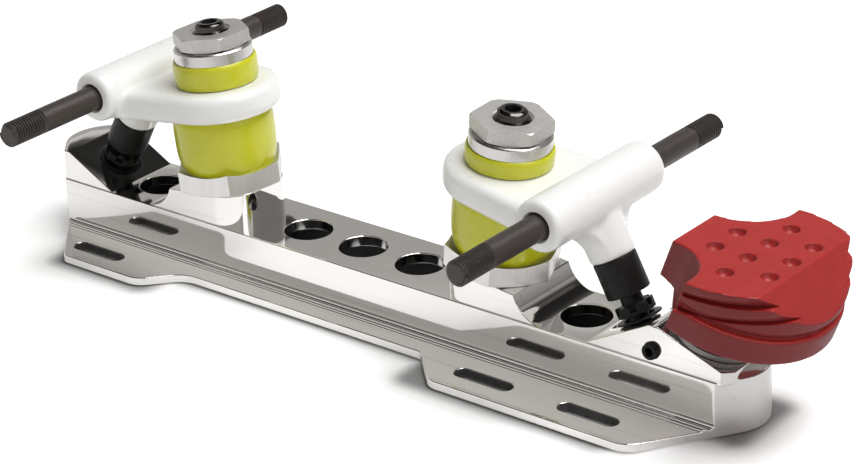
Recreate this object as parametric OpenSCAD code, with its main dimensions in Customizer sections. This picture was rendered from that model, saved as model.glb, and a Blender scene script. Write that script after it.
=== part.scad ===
// Quad roller skate plate, lying with its boot face on the ground.
// Millimetres. +X runs to the toe stop, +Z away from the boot, X = 0 is midway between the axles.

/* [Plate] */
// Distance between the two axles
wheelbase = 177; // [170:1:185]
// Width of the raised rail along the middle
rail_w = 30; // [28:0.5:33]
// Height of the rail above the boot face
rail_h = 17.5; // [16.5:0.5:19]
// Thickness of the rail top over the hollow
rail_top_t = 3.6; // [3:0.2:5]
// Width of the hollow under the rail
hollow_w = 22; // [18:0.5:23]
// Thickness of the flange that the boot sits on
flange_t = 2.7; // [2.2:0.1:3.4]
// Half width of the flange at the waist
waist_half = 24.8; // [23:0.2:27]
// Half width of the flange under the toe
toe_half = 37.8; // [36.5:0.1:40]
// Half width of the flange under the heel
heel_half = 36.8; // [36:0.1:40]
// Width of the low plinth on each side of the rail
plinth_w = 3.2; // [2.4:0.1:4]
// Height of the plinth above the flange
plinth_h = 0.5; // [0.3:0.1:1]
// Diameter of the five lightening holes
hole_d = 15.8; // [12:0.1:17]
// Distance between the three middle holes
hole_pitch = 22.8; // [21:0.1:25]

/* [Boot bolts] */
// Width of a bolt slot
slot_w = 5.5; // [4.5:0.1:6]
// Overall length of a bolt slot
slot_len = 21; // [18:0.5:23]
// Distance of the bolt slots from the centre line
slot_y = 28.2; // [27:0.1:29]
// Place of the rear pair of front slots
slot_front_x = 68.7; // [68:0.1:71]
// Distance between the two front pairs
slot_pitch = 38.1; // [36:0.1:39]
// Place of the heel slots
slot_rear_x = 90.5; // [86:0.5:92]

/* [Kingpin stack] */
// Place of the kingpin at the pedestal top, from the middle of the plate
kingpin_x = 55; // [54:0.5:56]
// Outward lean of the kingpin in degrees
kingpin_lean = 6; // [4:0.5:7]
// Height of the pedestal top above the boot face
pedestal_z = 27; // [26.5:0.5:28.5]
// Diameter of the kingpin
kingpin_d = 9.5; // [9:0.1:10]
// Size of the base lock nut across its flats
base_nut_af = 32.5; // [30:0.5:34]
// Height of the base lock nut under the cushion
base_nut_h = 5.8; // [5:0.1:6.5]
// Slope of its dished rim in degrees
base_nut_dish = 33; // [25:1:40]
// Diameter of the lower cushion
lower_cushion_d = 33; // [30:0.5:33.5]
// Height of the lower cushion under the ring
lower_cushion_h = 18.7; // [18:0.1:20]
// Diameter of the upper cushion
upper_cushion_d = 27.4; // [26:0.2:29]
// Height of the front upper cushion over its ring
upper_cushion_h = 5.2; // [4.5:0.1:7]
// Height of the rear upper cushion, whose nut is less tight
rear_upper_cushion_h = 7.6; // [5:0.1:8]
// Diameter of the cushion retainer
retainer_d = 25.6; // [24:0.2:27]
// Height of the cushion retainer
retainer_h = 4.4; // [3:0.1:5]
// Size of the kingpin nut across its flats
kingpin_nut_af = 22.2; // [21:0.1:25]
// Height of the kingpin nut
kingpin_nut_h = 4.8; // [4.5:0.1:6]
// Height of the domed kingpin end above the nut
kingpin_tip = 2.7; // [2:0.1:3.5]

/* [Trucks] */
// Height of the axles above the boot face
axle_z = 57.2; // [56:0.1:59]
// Length of an axle
axle_len = 130; // [126:1:136]
// Diameter of an axle
axle_d = 8; // [7.5:0.1:8.5]
// Length of the hanger hub round the axle
hub_len = 55; // [52:1:60]
// Diameter of the hanger hub
hub_d = 16.6; // [15:0.2:18]
// Diameter of the hanger ring
ring_d = 39.5; // [38:0.5:41]
// Height of the hanger ring
ring_h = 9.5; // [9:0.5:10]
// Bore of the hanger ring
ring_bore = 21; // [19:0.5:22]
// Rounding of the ring and its arms
ring_edge = 2.8; // [1.5:0.1:3.5]
// Width of the arms that run from the ring to the hub
arm_w = 9; // [8:0.5:11]
// Outward turn of each arm in degrees
arm_turn = 7; // [4:0.5:9]
// Rounding of the hub ends
hub_edge = 2; // [0.5:0.1:3]
// Radius of the flare where the pivot leg runs into the hub
leg_flare = 8; // [5:0.5:10]
// Length of the straight foot of the pivot leg
leg_foot = 5; // [3:0.5:6]

/* [Pivots] */
// Place where the pivot axis meets its inclined seat
pivot_x = 105.6; // [104.5:0.1:106]
// Height of that place above the boot face
pivot_z = 22.4; // [22:0.1:23]
// Lean of the pivot axis from upright in degrees
pivot_lean = 28; // [26:0.5:29]
// Diameter of the pivot ball
ball_d = 9; // [8:0.2:9.6]
// Depth of the ball centre below the seat
ball_depth = 3.5; // [3:0.1:4]
// Diameter of the black pivot sleeve
sleeve_d = 13.6; // [13:0.2:15]
// Length of the black pivot sleeve
sleeve_len = 11.4; // [10:0.2:12]
// Diameter of the castellated collar
collar_d = 12; // [11:0.2:13]

/* [Toe stop] */
// Place where the stem axis meets the front slope
toe_x = 132.6; // [132:0.1:133]
// Height of that place above the boot face
toe_z = 25.2; // [24.9:0.1:25.5]
// Forward lean of the toe stop in degrees
toe_lean = 20.5; // [19:0.5:22]
// Diameter of the stem
stem_d = 15.7; // [15:0.1:16]
// Diameter of the jam nut under the rubber
jam_nut_d = 28; // [26:0.5:30]
// Height of the jam nut
jam_nut_h = 4.4; // [4:0.2:5]
// Diameter of the rubber round its stem
rubber_d = 62; // [59:0.5:63]
// Height of the lower edge of the rubber rim above the slope
rim_low = 14.2; // [13.6:0.2:15.4]
// Height of the upper edge of the rubber rim above the slope
rim_high = 23; // [22:0.2:24]
// Height of the rubber contact face above the boot face, on the stem axis
contact_z = 55; // [53.5:0.5:56.5]
// Forward fall of the contact face in degrees
contact_fall = 3.7; // [0:0.1:6]
// Depth of each moulded side groove below the contact face
side_grooves = [4.4, 9.3]; // [3:0.1:11]
// Distance between the grip dimples
dimple_pitch = 11.6; // [11:0.1:12]

/* [Clearances] */
// Radial clearance of a fixed pin in its bore
pin_fit = 0.05; // [0.02:0.01:0.1]
// Gap between a cushion and the ring that rocks on it
cushion_gap = 0.3; // [0.2:0.05:0.5]
// Gap between the pivot ball and its cup
ball_gap = 0.3; // [0.2:0.05:0.5]
// Gap between the jam nut and the front slope
seat_gap = 0.1; // [0.05:0.05:0.3]

/* [Hidden] */
$fn = 72;
front = 1;
rear = -1;

// Plate ends: each end is a pointed nose with a rounded tip
nose_front_x = 152;
nose_rear_x = 130.5;
nose_r = 14;
heel_corner_x = 98.5;
toe_corner_x = 126.4;
flare_front_x = [42, 55];
flare_rear_x = [55, 66];
hollow_h = rail_h - rail_top_t;
plinth_half = rail_w / 2 + plinth_w;
through = 400;
block_half = rail_w / 2 - 0.6;
block_set_in = 0.9;
block_plan_half = 36;
block_taper_rear = 30;
block_taper_front = 20;
block_overlap = 1;
pedestal_in = 15;
pedestal_out = 25;
pedestal_r = 10;
slope_foot = 13;
land_hole_x = 86.5;
slope_top_z = toe_z + 4;
rear_block_z = rail_h + 10;
seat_foot_x = pivot_x - (pivot_z - rail_h) / tan(pivot_lean);
hollow_end_x = seat_foot_x - 0.4;

// Kingpin stack, measured along the kingpin from the pedestal top
ring_at = base_nut_h + lower_cushion_h + cushion_gap;
upper_at = ring_at + ring_h + cushion_gap;
function upper_h(end) = end == front ? upper_cushion_h : rear_upper_cushion_h;
function retainer_at(end) = upper_at + upper_h(end);
function nut_at(end) = retainer_at(end) + retainer_h;
function tip_at(end) = nut_at(end) + kingpin_nut_h + kingpin_tip;
kingpin_root = pedestal_z - hollow_h + 0.4;
neck_d = ring_bore - 2 * cushion_gap - 0.4;
kingpin_bore = kingpin_d + 2 * pin_fit;

// Axle core, knurled and pressed into the hub
core_d = axle_d + 0.6;

// Pivot stack, measured along the pivot axis from its seat
rim_h = 0.8;
collar_at = 1.6;
collar_h = 3.2;
neck_at = collar_at + collar_h;
sleeve_at = 7.9;
sleeve_top = sleeve_at + sleeve_len;
pin_top = sleeve_top + 11;
pin_d = 8;
cup_d = 14;
cup_depth = ball_depth + ball_d / 2 + ball_gap + 1.6;

// Toe stop stack, measured along the stem from the front slope
rubber_at = seat_gap + jam_nut_h;
stem_root = -21;
stem_top = rubber_at + 12;
stem_flange_d = stem_d + 8;
stem_flange_h = 3;
contact_at = (contact_z - toe_z) / cos(toe_lean);
clamp_x = toe_x - 13;
clamp_z = toe_z - 3.8;
clamp_d = 5;
clamp_reach = 20;
stem_fit = 0.3;

function unit(v) = v / norm(v);

// One corner of an outline, rounded to radius r
function corner(a, b, c, r, steps = 8) =
  let (
    u = unit(a - b),
    v = unit(c - b),
    half = acos(u * v) / 2,
    centre = b + unit(u + v) * r / sin(half),
    start = b + u * r / tan(half) - centre,
    stop = b + v * r / tan(half) - centre,
    a0 = atan2(start.y, start.x),
    turn = atan2(stop.y, stop.x) - a0,
    sweep = turn > 180 ? turn - 360 : turn < -180 ? turn + 360 : turn
  )
  [for (i = [0 : steps]) centre + r * [cos(a0 + sweep * i / steps), sin(a0 + sweep * i / steps)]];

// An outline of [x, y, r] points with every corner rounded to its r
function rounded(p) =
  let (n = len(p))
  [for (i = [0 : n - 1])
    let (
      a = p[(i + n - 1) % n],
      b = p[i],
      c = p[(i + 1) % n]
    )
    each corner([a.x, a.y], [b.x, b.y], [c.x, c.y], b.z)];

// Half outline of the flange from the heel to the toe, on the side of the sign s
function side_points(s) = [
  [-heel_corner_x, s * heel_half, 4],
  [-flare_rear_x[1], s * heel_half, 8],
  [-flare_rear_x[0], s * waist_half, 10],
  [flare_front_x[0], s * waist_half, 4],
  [flare_front_x[1], s * toe_half, 6],
  [toe_corner_x, s * toe_half, 8]
];

function flipped(p) = [for (i = [len(p) - 1 : -1 : 0]) p[i]];

function flange_points() = rounded(concat(
  [[-nose_rear_x, 0, nose_r]], side_points(-1),
  [[nose_front_x, 0, nose_r]], flipped(side_points(1))
));

// Outline of the raised blocks, set in from the rail sides and the nose ends
function block_points() = rounded([
  [-nose_rear_x + block_set_in, 0, nose_r],
  [-nose_rear_x + block_set_in + block_taper_rear, -block_plan_half, 1],
  [nose_front_x - block_taper_front, -block_plan_half, 1],
  [nose_front_x - block_set_in, 0, nose_r],
  [nose_front_x - block_taper_front, block_plan_half, 1],
  [-nose_rear_x + block_set_in + block_taper_rear, block_plan_half, 1]
]);

// Mirrors a front piece to the rear
module at_end(end) {
  if (end == front) children();
  else mirror([1, 0, 0]) children();
}

// Puts a piece on the kingpin axis, d above the pedestal top
module on_kingpin(d = 0) {
  translate([kingpin_x, 0, pedestal_z]) rotate([0, kingpin_lean, 0]) translate([0, 0, d]) children();
}

// Puts a piece on the pivot axis, d above the inclined seat
module on_pivot(d = 0) {
  translate([pivot_x, 0, pivot_z]) rotate([0, -pivot_lean, 0]) translate([0, 0, d]) children();
}

// Puts a piece on the toe stop stem, d above the front slope
module on_stem(d = 0) {
  translate([toe_x, 0, toe_z]) rotate([0, toe_lean, 0]) translate([0, 0, d]) children();
}

// Puts a cut on the contact face, with x forward along the face from the stem axis
module on_contact(x = 0) {
  on_stem(contact_at) rotate([0, contact_fall - toe_lean, 0]) translate([x, 0, 0]) children();
}

// A side view outline in X and Z, made w wide across the plate
module across(points, w) {
  rotate([90, 0, 0]) linear_extrude(w, center = true) polygon(points);
}

// A cylinder whose axis runs across the plate
module cross_rod(d, len) {
  rotate([90, 0, 0]) cylinder(d = d, h = len, center = true);
}

module slot_cut(len, w, h) {
  for (s = [-1, 1]) translate([s * (len - w) / 2, 0, 0]) cylinder(d = w, h = h, center = true);
  cube([len - w, w, h], center = true);
}

module hex(af, h) {
  cylinder(d = af / cos(30), h = h, $fn = 6);
}

// A hexagonal nut with both ends turned to a chamfer
module chamfered_nut(af, h, bore, chamfer) {
  corner_d = af / cos(30);
  difference() {
    intersection() {
      hex(af, h);
      union() {
        cylinder(d1 = af - 0.3, d2 = af - 0.3 + 2 * chamfer / tan(25), h = chamfer);
        translate([0, 0, chamfer]) cylinder(d = corner_d + 1, h = h - 2 * chamfer);
        translate([0, 0, h - chamfer])
          cylinder(d1 = af - 0.3 + 2 * chamfer / tan(25), d2 = af - 0.3, h = chamfer);
      }
    }
    translate([0, 0, -1]) cylinder(d = bore, h = h + 2);
  }
}

// The three tiers of the extruded section, cut to the outline of the flange
module plate_tiers() {
  linear_extrude(flange_t) polygon(flange_points());
  intersection() {
    linear_extrude(rail_h) polygon(flange_points());
    union() {
      translate([-through / 2, -plinth_half, 0]) cube([through, 2 * plinth_half, flange_t + plinth_h]);
      translate([-through / 2, -rail_w / 2, 0]) cube([through, rail_w, rail_h]);
    }
  }
}

// Kingpin pedestal: square to the kingpin on top, scooped down to the land outboard
module pedestal() {
  plan = rounded([
    [kingpin_x - pedestal_in, -block_half, pedestal_r],
    [kingpin_x + pedestal_out, -block_half, 0.5],
    [kingpin_x + pedestal_out, block_half, 0.5],
    [kingpin_x - pedestal_in, block_half, pedestal_r]
  ]);
  scoop_r = pedestal_z - rail_h + block_overlap;
  intersection() {
    translate([0, 0, rail_h - block_overlap]) linear_extrude(pedestal_z) polygon(plan);
    difference() {
      on_kingpin(-pedestal_z) translate([-through / 2, -through / 2, 0]) cube([through, through, pedestal_z]);
      translate([kingpin_x + pedestal_out, 0, rail_h + scoop_r]) cross_rod(2 * scoop_r, through);
    }
  }
}

// Raised ends: the pivot seats on both, and the toe stop slope at the front
module end_blocks() {
  rise = tan(pivot_lean);
  fall = tan(toe_lean);
  intersection() {
    linear_extrude(2 * slope_top_z) polygon(block_points());
    union() {
      across([
        [seat_foot_x, rail_h - block_overlap],
        [seat_foot_x, rail_h],
        [seat_foot_x + (slope_top_z - rail_h) / rise, slope_top_z],
        [toe_x - (slope_top_z - toe_z) / fall, slope_top_z],
        [toe_x + slope_foot, toe_z - slope_foot * fall],
        [toe_x + slope_foot, rail_h - block_overlap]
      ], 2 * block_half);
      across([
        [-seat_foot_x, rail_h - block_overlap],
        [-seat_foot_x, rail_h],
        [-seat_foot_x - (rear_block_z - rail_h) / rise, rear_block_z],
        [-nose_rear_x, rear_block_z],
        [-nose_rear_x, rail_h - block_overlap]
      ], 2 * block_half);
    }
  }
}

// Fine groove along each plinth, and the slots for the boot bolts
module side_cuts() {
  groove = 0.6;
  groove_depth = 0.4;
  groove_y = rail_w / 2 + 1.2;
  for (s = [-1, 1]) {
    translate([-through / 2, s * groove_y - groove / 2, flange_t + plinth_h - groove_depth])
      cube([through, groove, 1]);
    for (x = [slot_front_x, slot_front_x + slot_pitch, -slot_rear_x])
      translate([x, s * slot_y, flange_t / 2]) slot_cut(slot_len, slot_w, flange_t + 4);
  }
}

// Bores for the kingpin and the pivot cup at one end
module end_bores() {
  on_kingpin(-2 * pedestal_z) cylinder(d = kingpin_bore, h = 3 * pedestal_z);
  on_pivot(-cup_depth) cylinder(d = cup_d + 2 * pin_fit, h = 2 * cup_depth);
  translate([land_hole_x, 0, hollow_h - 1]) cylinder(d = hole_d, h = rail_top_t + 2);
}

// Split clamp of the toe stop: stem bore, clamp slit and clamp screw bore
module toe_clamp_cuts() {
  slit_w = 1.6;
  on_stem(2 * stem_root) cylinder(d = stem_d + stem_fit, h = -3 * stem_root);
  translate([clamp_x - 3, -slit_w / 2, rail_h + block_overlap]) cube([toe_x - clamp_x, slit_w, slope_top_z]);
  translate([clamp_x, clamp_reach / 2 - block_half, clamp_z])
    cross_rod(clamp_d + 2 * pin_fit, clamp_reach + 2);
}

module plate() color("silver") {
  difference() {
    union() {
      plate_tiers();
      end_blocks();
      at_end(front) pedestal();
      at_end(rear) pedestal();
    }
    translate([-hollow_end_x, -hollow_w / 2, -1]) cube([2 * hollow_end_x, hollow_w, hollow_h + 1]);
    for (i = [-1 : 1]) translate([i * hole_pitch, 0, 0]) cylinder(d = hole_d, h = 40);
    at_end(front) end_bores();
    at_end(rear) end_bores();
    side_cuts();
    toe_clamp_cuts();
  }
}

// Socket screw that pinches the split toe stop bore
module clamp_screw() color("black") {
  head_out = 1.6;
  key_af = 2.5;
  key_depth = 2.5;
  translate([clamp_x, -block_half - head_out, clamp_z]) rotate([-90, 0, 0]) difference() {
    cylinder(d = clamp_d, h = head_out + clamp_reach);
    translate([0, 0, -key_depth]) hex(key_af, 2 * key_depth);
  }
}

// Kingpin stud with a domed end and a hexagonal key socket
module kingpin(end) color("dimgray") {
  dome_r = 9;
  key_af = 4.8;
  key_depth = 5;
  at_end(end) on_kingpin() difference() {
    union() {
      translate([0, 0, -kingpin_root]) cylinder(d = kingpin_d, h = kingpin_root + tip_at(end) - kingpin_tip);
      translate([0, 0, tip_at(end) - kingpin_tip]) intersection() {
        cylinder(d = kingpin_d, h = kingpin_tip);
        translate([0, 0, kingpin_tip - dome_r]) sphere(r = dome_r);
      }
    }
    translate([0, 0, tip_at(end) - key_depth]) hex(key_af, 2 * key_depth);
  }
}

// Base lock nut: its top is dished round the cushion, so the rim rises at the corners
module base_nut(end, turn) color("gainsboro") {
  corner_r = base_nut_af / 2 / cos(30);
  dish_r = lower_cushion_d / 2 - 1.2;
  rim_rise = (corner_r - dish_r) * tan(base_nut_dish);
  chamfer = 1;
  at_end(end) on_kingpin() rotate([0, 0, turn]) difference() {
    intersection() {
      hex(base_nut_af, base_nut_h + rim_rise);
      union() {
        cylinder(r1 = base_nut_af / 2 - 0.2, r2 = corner_r + 0.5, h = chamfer);
        translate([0, 0, chamfer]) cylinder(r = corner_r + 0.5, h = base_nut_h + rim_rise);
      }
    }
    translate([0, 0, base_nut_h])
      cylinder(r1 = dish_r, r2 = dish_r + 2 * (corner_r - dish_r), h = 2 * rim_rise);
    translate([0, 0, -1]) cylinder(d = kingpin_bore, h = base_nut_h + rim_rise);
  }
}

// Lower cushion: drawn in at both ends, with a neck that centres the ring
module lower_cushion(end) color("yellowgreen") {
  r = lower_cushion_d / 2;
  bore = kingpin_bore / 2 + 0.2;
  neck = ring_h / 2 - cushion_gap;
  h = lower_cushion_h;
  at_end(end) on_kingpin(base_nut_h) rotate_extrude() polygon([
    [bore, 0], [r - 1.6, 0], [r - 0.6, 1.2], [r, 5], [r - 0.1, h - 3], [r - 0.5, h - 0.8], [r - 1.2, h],
    [neck_d / 2, h], [neck_d / 2 - 0.8, h + cushion_gap + neck], [bore, h + cushion_gap + neck]
  ]);
}

// Upper cushion, seated under the retainer, with its own neck in the ring
module upper_cushion(end) color("yellowgreen") {
  r = upper_cushion_d / 2;
  bore = kingpin_bore / 2 + 0.2;
  neck = ring_h / 2 - cushion_gap;
  h = upper_h(end);
  at_end(end) on_kingpin(upper_at) rotate_extrude() polygon([
    [bore, h], [r - 1, h], [r - 0.3, h - 0.9], [r, h - 2.4], [r - 0.2, 0.6], [r - 0.6, 0],
    [neck_d / 2, 0], [neck_d / 2 - 0.8, -cushion_gap - neck], [bore, -cushion_gap - neck]
  ]);
}

module retainer(end) color("silver") {
  r = retainer_d / 2;
  at_end(end) on_kingpin(retainer_at(end)) rotate_extrude() polygon([
    [kingpin_bore / 2, 0], [r, 0], [r, retainer_h - 0.5], [r - 0.5, retainer_h],
    [kingpin_bore / 2, retainer_h]
  ]);
}

module kingpin_nut(end, turn) color("darkgray") {
  at_end(end) on_kingpin(nut_at(end)) rotate([0, 0, turn])
    chamfered_nut(kingpin_nut_af, kingpin_nut_h, kingpin_bore, 0.9);
}

// Ring of the truck casting, with an arm along each side and a web between them
module ring_and_arms() {
  arm_len = wheelbase / 2 - kingpin_x - 3;
  step = 0.2;
  arm_y = (ring_d - arm_w) / 2 - step;
  arm_top = ring_h - step;
  on_kingpin(ring_at) {
    rotate_extrude() polygon(rounded([
      [2, 0, 0.2], [ring_d / 2, 0, ring_edge], [ring_d / 2, ring_h, ring_edge], [2, ring_h, 0.2]
    ]));
    for (s = [-1, 1]) rotate([0, 0, s * arm_turn]) translate([0, s * arm_y, 0])
      rotate([90, 0, 90]) linear_extrude(arm_len) polygon(rounded([
        [-arm_w / 2, step, ring_edge], [arm_w / 2, step, ring_edge],
        [arm_w / 2, arm_top, ring_edge], [-arm_w / 2, arm_top, ring_edge]
      ]));
    translate([0, -arm_y, 2 * step]) cube([arm_len - step, 2 * arm_y, ring_h - 4 * step]);
  }
}

// Pivot leg: round at its foot, flared along the hub, with two flat sides
module pivot_leg() {
  foot_r = sleeve_d / 2 + 0.4;
  foot_flat = foot_r - 0.6;
  hub_at = (axle_z - pivot_z) / cos(pivot_lean) - sleeve_top;
  flare = [for (a = [180 : -10 : 90]) [foot_r + leg_flare * (1 + cos(a)), leg_foot + leg_flare * sin(a)]];
  on_pivot(sleeve_top) intersection() {
    rotate_extrude()
      polygon(concat([[0, 0], [foot_r, 0]], flare, [[foot_r + leg_flare, hub_at], [0, hub_at]]));
    translate([-foot_flat, -hub_len / 2, -1]) cube([2 * foot_flat, hub_len, hub_at + 2]);
  }
}

// Truck casting: ring, arms, hub and pivot leg in one piece
module hanger(end) color("white") {
  hub_x = wheelbase / 2;
  hub_r = hub_d / 2;
  cushion_room = 3;
  at_end(end) difference() {
    union() {
      ring_and_arms();
      translate([hub_x, 0, axle_z]) rotate([90, 0, 0]) rotate_extrude() polygon(rounded([
        [1, -hub_len / 2, 0.2], [hub_r, -hub_len / 2, hub_edge],
        [hub_r, hub_len / 2, hub_edge], [1, hub_len / 2, 0.2]
      ]));
      pivot_leg();
    }
    on_kingpin(ring_at - ring_h) cylinder(d = ring_bore, h = 3 * ring_h);
    on_kingpin(ring_at + ring_h) cylinder(d = upper_cushion_d + cushion_room, h = 2 * ring_h);
    translate([hub_x, 0, axle_z]) cross_rod(core_d + 2 * pin_fit, hub_len + 10);
    on_pivot(sleeve_top - 1) cylinder(d = pin_d + 2 * pin_fit, h = pin_top - sleeve_top + 1.5);
  }
}

// Axle rod with a thicker core in the hub and chamfered tips
module axle(end) color("dimgray") {
  chamfer = 0.8;
  at_end(end) translate([wheelbase / 2, 0, axle_z]) rotate([90, 0, 0]) {
    cylinder(d = core_d, h = hub_len, center = true);
    cylinder(d = axle_d, h = axle_len - 2 * chamfer, center = true);
    for (s = [-1, 1]) rotate([s < 0 ? 180 : 0, 0, 0]) translate([0, 0, axle_len / 2 - chamfer])
      cylinder(d1 = axle_d, d2 = axle_d - 2 * chamfer, h = chamfer);
  }
}

module pivot_sleeve(end) color("black") {
  at_end(end) on_pivot(sleeve_at) difference() {
    cylinder(d = sleeve_d, h = sleeve_len);
    translate([0, 0, -1]) cylinder(d = pin_d + 2 * pin_fit, h = sleeve_len + 2);
  }
}

// Pivot stud: ball, neck, castellated collar and the thread up into the hanger
module pivot_pin(end) color("black") {
  notches = 6;
  notch_w = 2.2;
  notch_in = 4.4;
  notch_at = 1.2;
  ball_neck_d = 6.4;
  neck_d = 6.8;
  at_end(end) on_pivot() difference() {
    union() {
      translate([0, 0, -ball_depth]) sphere(d = ball_d);
      translate([0, 0, -ball_depth]) cylinder(d = ball_neck_d, h = ball_depth + neck_at);
      translate([0, 0, collar_at]) cylinder(d = collar_d, h = collar_h);
      translate([0, 0, collar_at]) cylinder(d = neck_d, h = sleeve_at - collar_at + 0.5);
      translate([0, 0, sleeve_at]) cylinder(d = pin_d, h = pin_top - sleeve_at);
    }
    for (i = [0 : notches - 1]) rotate([0, 0, i * 360 / notches])
      translate([notch_in, -notch_w / 2, collar_at + notch_at]) cube([collar_d, notch_w, collar_h]);
  }
}

// Pivot cup pressed into the inclined seat, open to the ball
module pivot_cup(end) color("black") {
  mouth_d = ball_d + 2 * ball_gap;
  at_end(end) on_pivot() difference() {
    union() {
      translate([0, 0, -cup_depth + 0.2]) cylinder(d = cup_d, h = cup_depth);
      cylinder(d = cup_d + 2, h = rim_h);
    }
    translate([0, 0, -ball_depth]) sphere(d = mouth_d);
    translate([0, 0, -ball_depth]) cylinder(d = mouth_d, h = 20);
  }
}

// Jam nut that locks the stem against the front slope, turned as two rings
module toe_stop_jam_nut() color("darkgray") {
  r = jam_nut_d / 2;
  bore = (stem_d + stem_fit) / 2;
  h = jam_nut_h;
  on_stem(seat_gap) rotate_extrude() polygon([
    [bore, 0], [r, 0], [r, 0.45 * h], [r - 1.4, 0.45 * h], [r - 1.4, 0.6 * h], [r - 0.6, 0.6 * h],
    [r - 0.6, h - 0.4], [r - 1, h], [bore, h]
  ]);
}

module toe_stop_stem() color("gray") {
  on_stem() {
    translate([0, 0, stem_root]) cylinder(d = stem_d, h = stem_top - stem_root);
    translate([0, 0, stem_top]) cylinder(d = stem_flange_d, h = stem_flange_h);
  }
}

// Grip dimples in three rows across the contact face
module dimple_cuts() {
  d = 5.6;
  depth = 1.2;
  ball_r = (d * d / 4 + depth * depth) / (2 * depth);
  rows = [[-8.4, 2], [2.4, 4], [13.4, 3]];
  for (row = rows)
    for (i = [0 : row[1] - 1]) {
      y = (i - (row[1] - 1) / 2) * dimple_pitch;
      on_contact(row[0]) translate([0, y, ball_r - depth]) sphere(r = ball_r);
    }
}

// Grooves round the side of the body, level with the contact face, deeper to the front
module side_groove_cuts(body_r) {
  tip_r = body_r - 0.2;
  reach = 6;
  for (depth = side_grooves)
    on_contact(-2) translate([0, 0, -depth]) rotate_extrude()
      polygon([[tip_r, 0], [tip_r + reach, 0], [tip_r + reach, 1.5 * reach]]);
}

// Rubber stop: a rim band below, and a body cut by the contact face, front bevel, rear flat and scallops
module toe_stop_rubber() color("firebrick") {
  r = rubber_d / 2;
  body_r = r - 0.9;
  stem_r = stem_d / 2 + seat_gap;
  flange_r = stem_flange_d / 2 + seat_gap;
  hub_r = flange_r + 3;
  rear_cut = -18.6;
  bevel_at = 17.7;
  bevel_fall = 54;
  scallop = [rear_cut + 0.2, 27];
  scallop_r = 16;
  difference() {
    on_stem() rotate_extrude() polygon([
      [stem_r, rubber_at], [hub_r, rubber_at], [hub_r + 2, rim_low - 1], [r - 1.2, rim_low],
      [r, rim_low + 1.2],
      [r, rim_high - 0.5], [r - 0.5, rim_high], [body_r - 1.6, rim_high], [body_r, rim_high + 2.4],
      [body_r, rubber_d], [0, rubber_d], [0, stem_top + stem_flange_h + seat_gap],
      [flange_r, stem_top + stem_flange_h + seat_gap], [flange_r, stem_top - seat_gap],
      [stem_r, stem_top - seat_gap]
    ]);
    on_contact() translate([-rubber_d, -rubber_d, 0]) cube(2 * rubber_d);
    on_contact(bevel_at) rotate([0, bevel_fall, 0]) translate([-rubber_d, -rubber_d, 0]) cube(2 * rubber_d);
    on_stem() translate([rear_cut - 2 * rubber_d, -rubber_d, -rubber_d]) cube(2 * rubber_d);
    for (s = [-1, 1])
      on_stem(rubber_at) translate([scallop[0], s * scallop[1], 0]) cylinder(r = scallop_r, h = rubber_d);
    side_groove_cuts(body_r);
    dimple_cuts();
  }
}

plate();
clamp_screw();
kingpin(front);  // front_kingpin
base_nut(front, 10);  // front_base_nut
lower_cushion(front);  // front_lower_cushion
upper_cushion(front);  // front_upper_cushion
retainer(front);  // front_retainer
kingpin_nut(front, 33);  // front_kingpin_nut
pivot_cup(front);  // front_pivot_cup
hanger(front);  // front_hanger
axle(front);  // front_axle
pivot_sleeve(front);  // front_pivot_sleeve
pivot_pin(front);  // front_pivot_pin
kingpin(rear);  // rear_kingpin
base_nut(rear, 50);  // rear_base_nut
lower_cushion(rear);  // rear_lower_cushion
upper_cushion(rear);  // rear_upper_cushion
retainer(rear);  // rear_retainer
kingpin_nut(rear, 33);  // rear_kingpin_nut
pivot_cup(rear);  // rear_pivot_cup
hanger(rear);  // rear_hanger
axle(rear);  // rear_axle
pivot_sleeve(rear);  // rear_pivot_sleeve
pivot_pin(rear);  // rear_pivot_pin
toe_stop_jam_nut();
toe_stop_stem();
toe_stop_rubber();
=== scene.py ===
"""A quad skate plate with sprung trucks and a toe stop, modelled over its CAD frame.

Lengths in the code are millimetres, turned to metres as they reach Blender, except in the studio.
+X runs to the toe stop, +Z away from the boot.
"""

import math

import bmesh
import bpy
from mathutils import Matrix, Vector


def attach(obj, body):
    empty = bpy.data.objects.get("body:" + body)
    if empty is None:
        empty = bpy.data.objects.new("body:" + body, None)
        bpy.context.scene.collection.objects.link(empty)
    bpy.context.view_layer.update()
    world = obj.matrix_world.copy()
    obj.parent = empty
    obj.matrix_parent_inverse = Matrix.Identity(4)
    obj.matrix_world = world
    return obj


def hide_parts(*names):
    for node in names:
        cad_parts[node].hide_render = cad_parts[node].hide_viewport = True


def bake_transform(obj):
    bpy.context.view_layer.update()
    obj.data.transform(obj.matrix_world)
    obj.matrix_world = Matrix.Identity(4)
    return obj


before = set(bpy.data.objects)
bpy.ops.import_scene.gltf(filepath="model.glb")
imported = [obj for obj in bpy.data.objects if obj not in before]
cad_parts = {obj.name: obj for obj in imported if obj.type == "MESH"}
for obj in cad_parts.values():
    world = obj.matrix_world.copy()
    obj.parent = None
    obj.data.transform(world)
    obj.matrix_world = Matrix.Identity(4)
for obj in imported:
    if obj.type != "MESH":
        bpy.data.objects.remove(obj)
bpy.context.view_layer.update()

bl_info = {
    "name": "Skate plate",
    "version": (1, 0, 0),
    "blender": (4, 5, 0),
    "location": "View3D > Sidebar > Skate",
    "description": "Models the pieces of a quad skate plate over its CAD frame",
    "category": "Object",
}

MM = 0.001
ENDS = ("front", "rear")

# Radii and heights in millimetres that several shapes share
PIN_HOLE_R = 4.85
CUSHION_HOLE_R = 4.95
NECK_R = 9.2
NECK_FOOT_R = 10.0
NECK_HEIGHT = 4.4
KEY_DEPTH = 2
SLEEVE_TOP = 19.3


# Sizes and colours that a user would change


def length(label, about, millimetres):
    return bpy.props.FloatProperty(
        name=label, description=about, default=millimetres * MM, unit="LENGTH", precision=5
    )


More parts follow.
